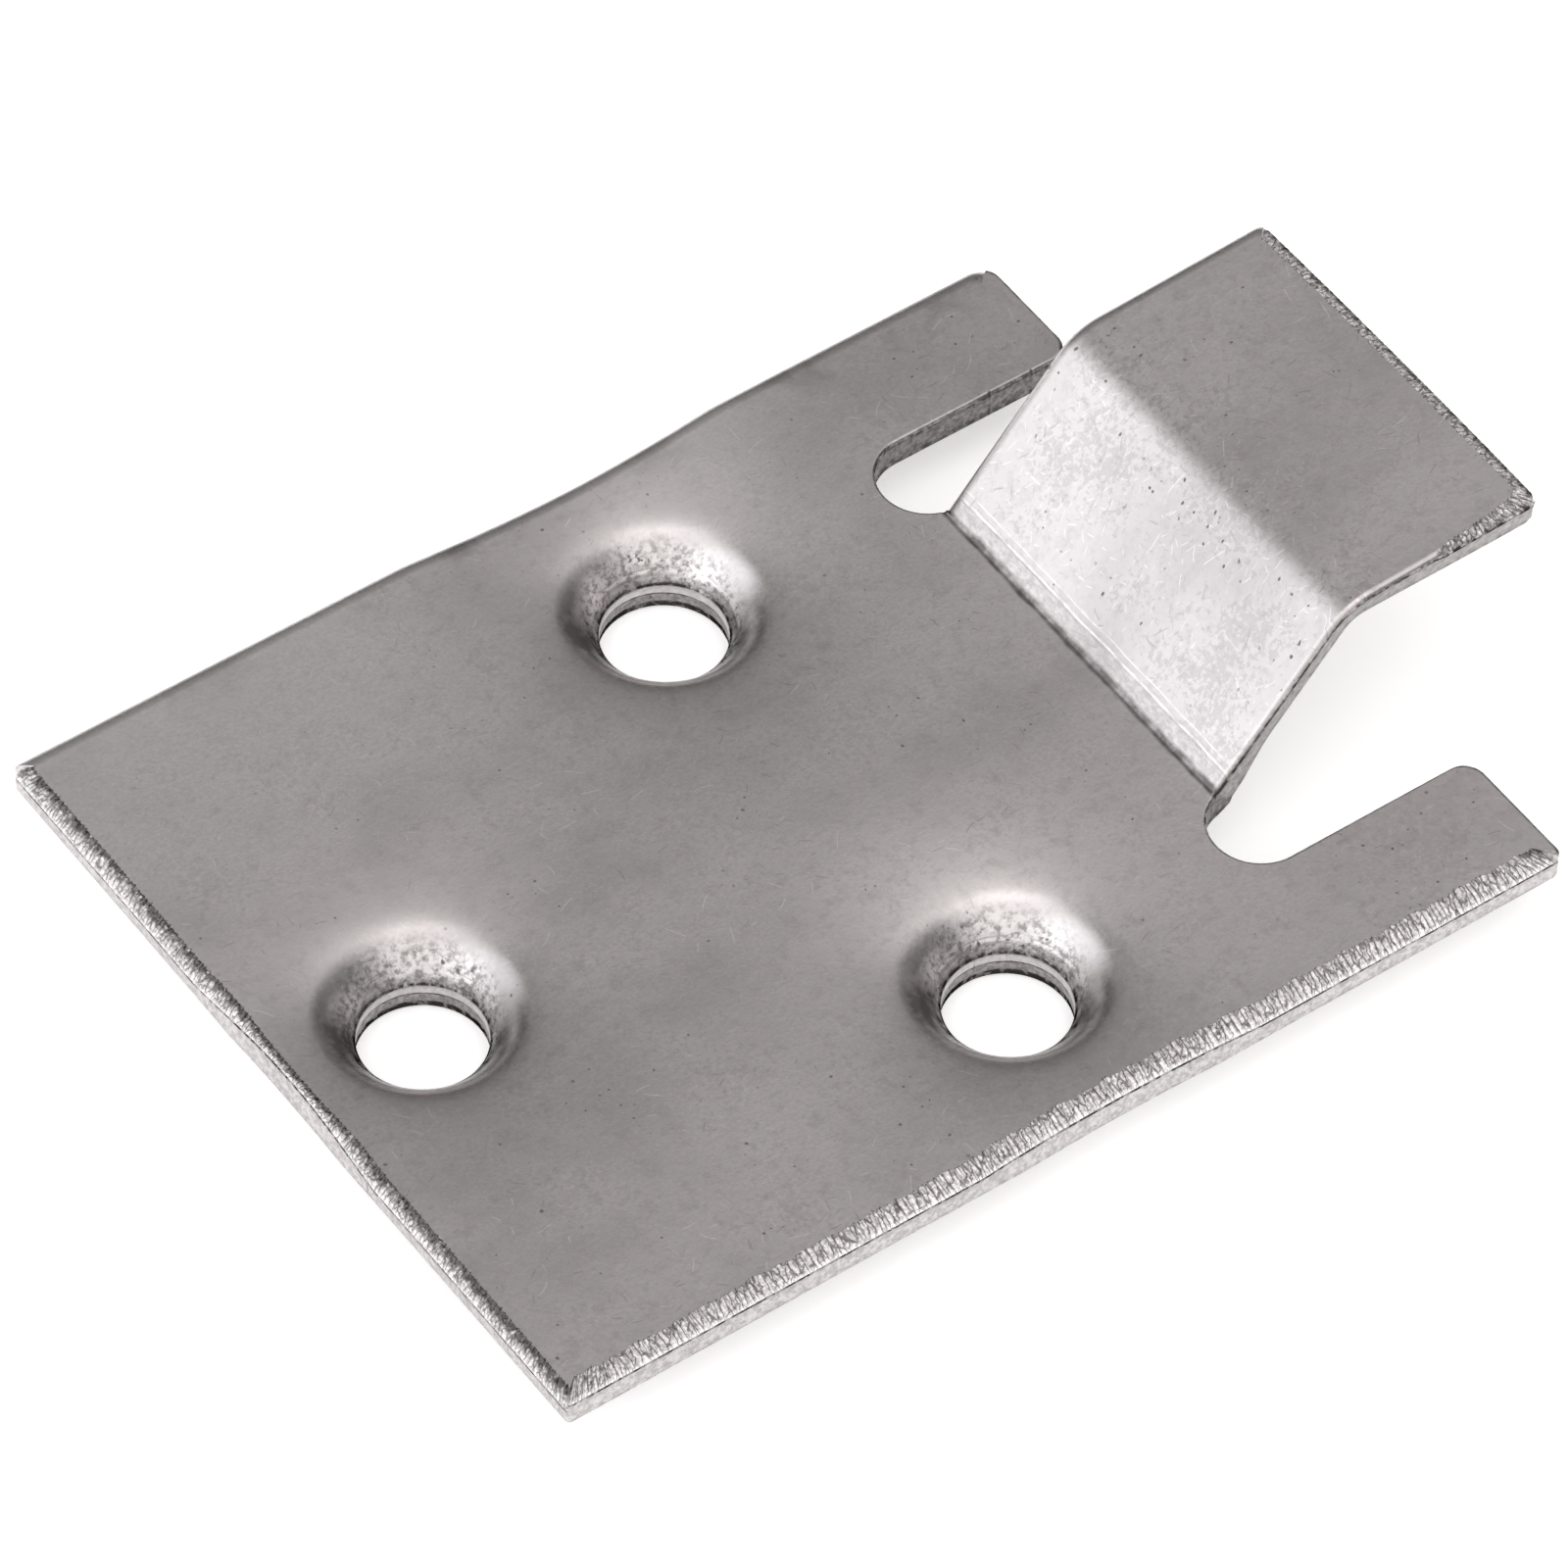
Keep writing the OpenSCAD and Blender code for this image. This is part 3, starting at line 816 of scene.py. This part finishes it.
furrow = node("ShaderNodeTexVoronoi", voronoi_dimensions="2D", feature="DISTANCE_TO_EDGE")
furrow.inputs["Scale"].default_value = 1.0
join(bevel_spot.outputs["Vector"], furrow.inputs["Vector"])
furrows = spread(furrow.outputs["Distance"], 0.02, 0.16, 1, 0)
grit = spread(noise(6500, 2, 0.6), 0.35, 0.65, 0, 1)
bevel_shaded = blend_colour(grit, bevel_shade_low, bevel_shade_high)
clean = blend_colour(grit, clean_low, clean_high)
bevel_shade_share = share_of(spread(mark("across"), 0.0, 0.75, 1.1, 0.05), mark("bevel_shade_level"))
bevel_shade_share = share_of(bevel_shade_share, spread(noise(2600, 3, 0.6, start=(0.07, 0, 0)), 0.35, 0.65, 0.35, 1.25))
ground_tone = blend_colour(capped(bevel_shade_share), clean, bevel_shaded)
ground_tone = blend_colour(share_of(furrows, 0.85), ground_tone, groove_dark)
bevel_highlight = spread(mark("across"), 0.78, 0.96, 0, 1)
bevel_highlight = share_of(bevel_highlight, spread(noise(2100, 3, 0.6), 0.3, 0.55, 0.35, 0.95))
bevel_highlight = share_of(bevel_highlight, spread(mark("bevel_shade_level"), 0.4, 1.6, 1, 0.5))
ground_tone = blend_colour(bevel_highlight, ground_tone, bevel_highlight_colour)
tone = blend_colour(mark("ground"), tone, ground_tone)

# The walls: cut bright outside, torn and darker in the slots and the holes, that
# darkness partly painted shade. The painted shade along edges, rims and feet lies in
# patches and takes the shine off the steel too.
cut_dark, cut_light = (0.41, 0.395, 0.39, 1), (0.68, 0.665, 0.66, 1)
torn_shaded_dark, torn_shaded_light = (0.15, 0.141, 0.138, 1), (0.36, 0.342, 0.338, 1)
painted_shade_dark, painted_shade_shine = (0.045, 0.042, 0.04, 1), (0.06, 0.055, 0.053, 1)
full_shine = (1, 1, 1, 1)
torn = noise(3900, 2, 0.7, start=(0, 0.02, 0.01))
cut_tone = blend_colour(spread(torn, 0.38, 0.62, 0, 1), cut_dark, cut_light)
torn_shaded_tone = blend_colour(spread(torn, 0.35, 0.65, 0, 1), torn_shaded_dark, torn_shaded_light)
tone = blend_colour(mark("sheared"), tone, cut_tone)
tone = blend_colour(share_of(mark("punched"), 0.9), tone, torn_shaded_tone)
shade_patches = share_of(mark("painted_shade"), spread(noise(2600, 3, 0.65, start=(0.04, 0, 0)), 0.38, 0.58, 0.25, 1))
tone = blend_colour(capped(shade_patches), tone, painted_shade_dark)
join(tone, surface.inputs["Base Color"])
shade_dulled = capped(sum_of(shade_patches, share_of(dimple_shade_share, 0.4)))
join(blend_colour(shade_dulled, full_shine, painted_shade_shine), surface.inputs["Specular Tint"])
torn_grit = share_of(share_of(mark("ground"), grit), spread(mark("bevel_shade_level"), 0.1, 0.5, 0.8, 0))
torn_grit = share_of(torn_grit, spread(shade_patches, 0, 0.5, 1, 0))
join(less(1, torn_grit), surface.inputs["Metallic"])

# How dull it is, and its finest relief: duller where it is pitted or broken, and
# rough where it was stretched, ground or torn.
dull = spread(clouds, 0.3, 0.7, 0.37, 0.31)
dull = sum_of(dull, spread(tooth, 0.3, 0.7, -0.03, 0.05))
dull = sum_of(dull, share_of(pits, 0.3))
broken = more_of(more_of(mark("sheared"), mark("punched")), mark("ground"))
dull = sum_of(dull, share_of(broken, 0.12))
join(dull, surface.inputs["Roughness"])

relief = sum_of(share_of(tooth, 0.35), share_of(mottle, 0.9))
stretched = sum_of(share_of(peel, -2.6), share_of(peel_pits, -2.2))
relief = sum_of(relief, share_of(pressed, stretched))
furrowed = sum_of(share_of(furrows, -3.0), share_of(grit, 1.2))
relief = sum_of(relief, share_of(mark("ground"), furrowed))
relief = sum_of(relief, share_of(broken, share_of(torn, 2.5)))
bump = node("ShaderNodeBump")
bump.inputs["Strength"].default_value = 0.35
bump.inputs["Distance"].default_value = 0.02 * mm
join(relief, bump.inputs["Height"])
join(bump.outputs["Normal"], surface.inputs["Normal"])

# Grinding the edges: the coarse wheel leaves a row of grooves square to the
# edge, one after the other along the bevel, each bitten to its own depth.
groove_depth = 0.11
groove_seed = 7.0
strokes_per_mm = 9.0
least_bite = 0.4
grind = bpy.data.node_groups.new("grinding_grooves", "GeometryNodeTree")
for name, kind in (
    ("Geometry", "NodeSocketGeometry"),
    ("Groove pitch", "NodeSocketFloat"),
    ("Groove depth", "NodeSocketFloat"),
    ("Seed", "NodeSocketFloat"),
    ("Steel", "NodeSocketMaterial"),
):
    grind.interface.new_socket(name, in_out="INPUT", socket_type=kind)
grind.interface.new_socket("Geometry", in_out="OUTPUT", socket_type="NodeSocketGeometry")
bench = grind.nodes
given = bench.new("NodeGroupInput")
done = bench.new("NodeGroupOutput")


def reading(name, kind):
    """A mark that the blank carries at each point."""
    read = bench.new("GeometryNodeInputNamedAttribute")
    read.data_type = kind
    read.inputs["Name"].default_value = name
    return read.outputs["Attribute"]


def work_out(how, first, second):
    """One step of arithmetic between two readings or numbers."""
    step = bench.new("ShaderNodeMath")
    step.operation = how
    for socket, value in zip(step.inputs, (first, second)):
        if isinstance(value, (int, float)):
            socket.default_value = value
        elif value is not None:
            grind.links.new(value, socket)
    return step.outputs["Value"]


furrow_at = bench.new("ShaderNodeTexVoronoi")
furrow_at.voronoi_dimensions = "1D"
furrow_at.feature = "DISTANCE_TO_EDGE"
furrow_at.inputs["Scale"].default_value = 1.0
in_pitches = work_out("DIVIDE", reading("run", "FLOAT"), given.outputs["Groove pitch"])
grind.links.new(in_pitches, furrow_at.inputs["W"])
slack = work_out("MULTIPLY", furrow_at.outputs["Distance"], 3.0)
bitten = work_out("SUBTRACT", 1.0, work_out("MINIMUM", slack, 1.0))
chance = bench.new("ShaderNodeTexWhiteNoise")
chance.noise_dimensions = "1D"
stroke = work_out("FLOOR", work_out("MULTIPLY", reading("run", "FLOAT"), strokes_per_mm), None)
grind.links.new(work_out("ADD", stroke, given.outputs["Seed"]), chance.inputs["W"])
bitten = work_out("MULTIPLY", bitten, work_out("ADD", least_bite, chance.outputs["Value"]))
bitten = work_out("MULTIPLY", bitten, given.outputs["Groove depth"])
cut = bench.new("ShaderNodeVectorMath")
cut.operation = "SCALE"
grind.links.new(reading("bite", "FLOAT_VECTOR"), cut.inputs[0])
grind.links.new(bitten, cut.inputs["Scale"])
move = bench.new("GeometryNodeSetPosition")
real = bench.new("GeometryNodeRealizeInstances")
coat = bench.new("GeometryNodeSetMaterial")
grind.links.new(given.outputs["Geometry"], move.inputs["Geometry"])
grind.links.new(cut.outputs["Vector"], move.inputs["Offset"])
grind.links.new(move.outputs["Geometry"], real.inputs["Geometry"])
grind.links.new(real.outputs["Geometry"], coat.inputs["Geometry"])
grind.links.new(given.outputs["Steel"], coat.inputs["Material"])
grind.links.new(coat.outputs["Geometry"], done.inputs["Geometry"])

wheel = raw_bracket.modifiers.new("grinding", "NODES")
wheel.node_group = grind
sockets = {item.name: item.identifier for item in grind.interface.items_tree if item.in_out == "INPUT"}
wheel[sockets["Groove pitch"]] = groove_pitch
wheel[sockets["Groove depth"]] = groove_depth
wheel[sockets["Seed"]] = groove_seed
wheel[sockets["Steel"]] = satin_steel
finished = raw_bracket.evaluated_get(bpy.context.evaluated_depsgraph_get())
bracket = bpy.data.objects.new("bracket_finished", bpy.data.meshes.new_from_object(finished))
bpy.context.scene.collection.objects.link(bracket)
raw_bracket.modifiers.remove(wheel)
bpy.data.objects.remove(raw_bracket)
bracket.data.set_sharp_from_angle(angle=math.radians(40))
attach(bracket, "root")
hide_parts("bracket")


# The floor: a plain white sheet that the bracket stands on. It shows as white to
# the camera and in the steel, and keeps the bracket's shadow.
floor_glow = 0.4
paper = bpy.data.materials.new("white_paper")
paper.use_nodes = True
shop, wires = paper.node_tree.nodes, paper.node_tree.links
sheet_face = shop["Principled BSDF"]
sheet_face.inputs["Base Color"].default_value = (0.9, 0.9, 0.9, 1)
sheet_face.inputs["Roughness"].default_value = 0.9
sheet_face.inputs["Emission Color"].default_value = (1, 1, 1, 1)
rays = node("ShaderNodeLightPath")
seen = sum_of(rays.outputs["Is Camera Ray"], rays.outputs["Is Glossy Ray"])
seen = sum_of(seen, rays.outputs["Is Transmission Ray"])
join(share_of(capped(seen), floor_glow), sheet_face.inputs["Emission Strength"])
floor_mesh = bpy.data.meshes.new("floor")
reach = 6.0
floor_z = -0.0001
floor_corners = [(-reach, -reach), (reach, -reach), (reach, reach), (-reach, reach)]
floor_mesh.from_pydata([(x, y, floor_z) for x, y in floor_corners], [], [(0, 1, 2, 3)])
floor_mesh.materials.append(paper)
floor = bpy.data.objects.new("floor", floor_mesh)
bpy.context.scene.collection.objects.link(floor)


# The light: a grey studio that darkens towards the horizon, with four soft white
# panels in it: low on the far left, behind the camera, overhead and, weak, low
# in front. One lamp gives the soft shadow.
room = bpy.data.worlds.new("studio")
bpy.context.scene.world = room
room.use_nodes = True
shop, wires = room.node_tree.nodes, room.node_tree.links
around = node("ShaderNodeTexCoord")
look = node("ShaderNodeSeparateXYZ")
join(around.outputs["Generated"], look.inputs["Vector"])


def panel(toward, edge, middle, level):
    """A soft white panel: it starts at the edge's cosine and is full at the middle's."""
    facing = node("ShaderNodeVectorMath", operation="DOT_PRODUCT")
    facing.inputs[1].default_value = Vector(toward).normalized()
    join(around.outputs["Generated"], facing.inputs[0])
    glow = node("ShaderNodeMapRange", interpolation_type="SMOOTHSTEP")
    glow.inputs["From Min"].default_value = edge
    glow.inputs["From Max"].default_value = middle
    glow.inputs["To Max"].default_value = level
    join(facing.outputs["Value"], glow.inputs["Value"])
    return glow.outputs["Result"]


studio = spread(look.outputs["Z"], 0.05, 0.65, 0.04, 0.37)
studio = sum_of(studio, panel((-0.46, -0.61, 0.645), 0.4, 0.9, 1.0))
studio = sum_of(studio, panel((0.25, -0.1, 0.96), 0.772, 0.93, 0.75))
studio = sum_of(studio, panel((0.93, 0.35, 0.1), 0.95, 1.0, 0.5))
cool = panel((-0.9, 0.35, 0.2), 0.6, 1.0, 1.55)
warm_white, cool_white = (1, 0.972, 0.962, 1), (1, 1, 1.02, 1)
sky = shop["Background"]
join(sum_of(studio, cool), sky.inputs["Strength"])
join(blend_colour(capped(cool), warm_white, cool_white), sky.inputs["Color"])

lamp = bpy.data.lights.new("soft_box", "AREA")
lamp.shape = "SQUARE"
lamp.size = 0.8
lamp.energy = 0.6
lamp_away = 1.4
soft_box = bpy.data.objects.new("soft_box", lamp)
overhead = Vector((-0.35, -0.15, 1.0)).normalized()
soft_box.location = overhead * lamp_away
soft_box.rotation_euler = overhead.to_track_quat("Z", "Y").to_euler()
bpy.context.scene.collection.objects.link(soft_box)

# The camera, where the photograph was taken from: high above the back right
# corner, nearly half a metre away.
camera_data = bpy.data.cameras.new("camera")
camera_data.sensor_width = 36
camera_data.lens = 261.3
camera_data.clip_start = 0.01
camera_data.clip_end = 20
camera = bpy.data.objects.new("camera", camera_data)
camera.matrix_world = Matrix.Translation((-0.18524, -0.24262, 0.36355)) @ Matrix((
    (0.81359, 0.43354, -0.38743),
    (-0.58111, 0.62854, -0.51696),
    (0.01939, 0.64574, 0.76331),
)).to_4x4()
bpy.context.scene.collection.objects.link(camera)
bpy.context.scene.camera = camera
bpy.context.scene.view_settings.view_transform = "Standard"
